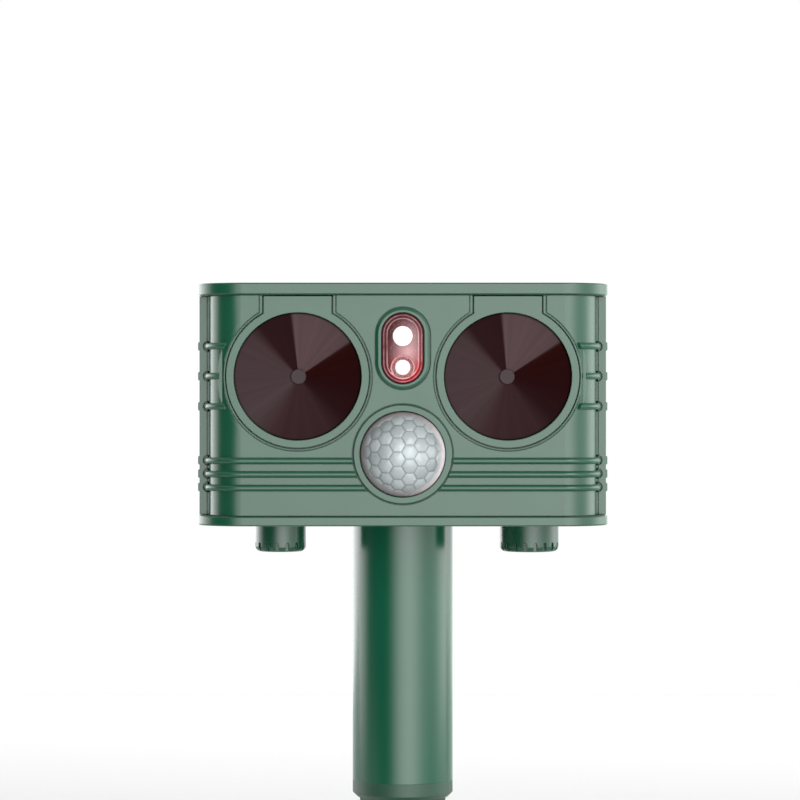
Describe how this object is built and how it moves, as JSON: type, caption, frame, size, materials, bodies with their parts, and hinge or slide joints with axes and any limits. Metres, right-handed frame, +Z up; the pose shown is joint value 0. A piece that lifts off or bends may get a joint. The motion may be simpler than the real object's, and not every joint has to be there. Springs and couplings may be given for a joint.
{
  "type": "ultrasonic pest repeller",
  "caption": "Solar animal repeller: a box with twin sound horns, a domed motion sensor and a light window, on a pole with a ground spike.",
  "frame": {"origin": "on the pole's axis at ground level, where the pole's foot meets the top of the spike's collar", "axes": "+Z up along the pole, +Y to the rear, +X to the right as the front is faced"},
  "size_m": [0.143, 0.1032, 0.3017],
  "materials": {
    "housing_plastic": "dark green moulded plastic, satin gloss",
    "knob_plastic": "dark green moulded plastic, satin gloss",
    "pole_plastic": "dark green extruded plastic, satin gloss",
    "spike_plastic": "dark green moulded plastic, plain",
    "seal_rubber": "black, dull",
    "horn_cone": "dark maroon, glossy",
    "horn_cap": "dull dark mauve",
    "driver_black": "black",
    "screw_steel": "plated",
    "panel_resin": "clear cast resin",
    "solar_cell": "dark blue cells with silver lines",
    "circuit_board": "green board",
    "clear_plastic": "clear, polished",
    "red_reflector": "deep red, glossy",
    "white_light": "frosted white, lit",
    "red_light": "pinkish white, lit",
    "sensor_dome": "milky translucent, with lens cells",
    "tin_can": "tinned",
    "capacitor_sleeve": "printed sleeve, plain",
    "copper_coil": "lacquered copper wire",
    "control_metal": "plated",
    "shaft_white": "white moulded plastic",
    "cell_sleeve": "blue shrink sleeve"
  },
  "bodies": {
    "spike": {"ground_spike": "spike_plastic"},
    "pole": {"pole": "pole_plastic"},
    "housing": {"base_gasket": "seal_rubber", "base_plate": "housing_plastic", "base_screws": "screw_steel", "battery_cells": "cell_sleeve", "battery_contacts": "tin_can", "battery_holder": "driver_black", "board_screws": "screw_steel", "boost_coils": "copper_coil", "capacitors": "capacitor_sleeve", "case_screws": "screw_steel", "charge_board": "circuit_board", "control_chip": "driver_black", "control_nuts": "screw_steel", "frequency_switch": "control_metal", "front_cover": "housing_plastic", "horn_screws": "screw_steel", "led_bezel": "housing_plastic", "led_board": "circuit_board", "led_reflector": "red_reflector", "led_window": "clear_plastic", "left_horn_bezel": "housing_plastic", "left_horn_cap": "horn_cap", "left_horn_cone": "horn_cone", "left_piezo_driver": "driver_black", "lid_gasket": "seal_rubber", "lid_screws": "screw_steel", "lower_led": "red_light", "main_board": "circuit_board", "pir_board": "circuit_board", "pir_sensor": "tin_can", "rear_shell": "housing_plastic", "right_horn_bezel": "housing_plastic", "right_horn_cap": "horn_cap", "right_horn_cone": "horn_cone", "right_piezo_driver": "driver_black", "sensitivity_pot": "control_metal", "sensor_bezel": "housing_plastic", "sensor_lens": "sensor_dome", "solar_board": "circuit_board", "solar_cells": "solar_cell", "solar_glass": "panel_resin", "top_lid": "housing_plastic", "upper_led": "white_light", "usb_socket": "tin_can"},
    "frequency_control": {"frequency_knob": "knob_plastic", "frequency_shaft": "shaft_white"},
    "sensitivity_control": {"sensitivity_knob": "knob_plastic", "sensitivity_shaft": "shaft_white"},
    "usb_cover": {"usb_cover": "seal_rubber"}
  },
  "joints": [
    {"name": "pole_lift", "type": "slide", "parent": "spike", "child": "pole", "axis": [0, 0, 1], "range_m": [0, 0.04]},
    {"name": "housing_lift", "type": "slide", "parent": "pole", "child": "housing", "axis": [0, 0, 1], "range_m": [0, 0.04]},
    {"name": "frequency_turn", "type": "hinge", "parent": "housing", "child": "frequency_control", "pos_m": [-0.0436, -0.008, 0.0878], "axis": [0, 0, -1], "range_deg": [0, 300]},
    {"name": "sensitivity_turn", "type": "hinge", "parent": "housing", "child": "sensitivity_control", "pos_m": [0.0452, -0.008, 0.0878], "axis": [0, 0, -1], "range_deg": [0, 300]},
    {"name": "usb_cover_swing", "type": "hinge", "parent": "housing", "child": "usb_cover", "pos_m": [0.047, 0.0459, 0.1302], "axis": [1, 0, 0], "range_deg": [0, 110]}
  ]
}
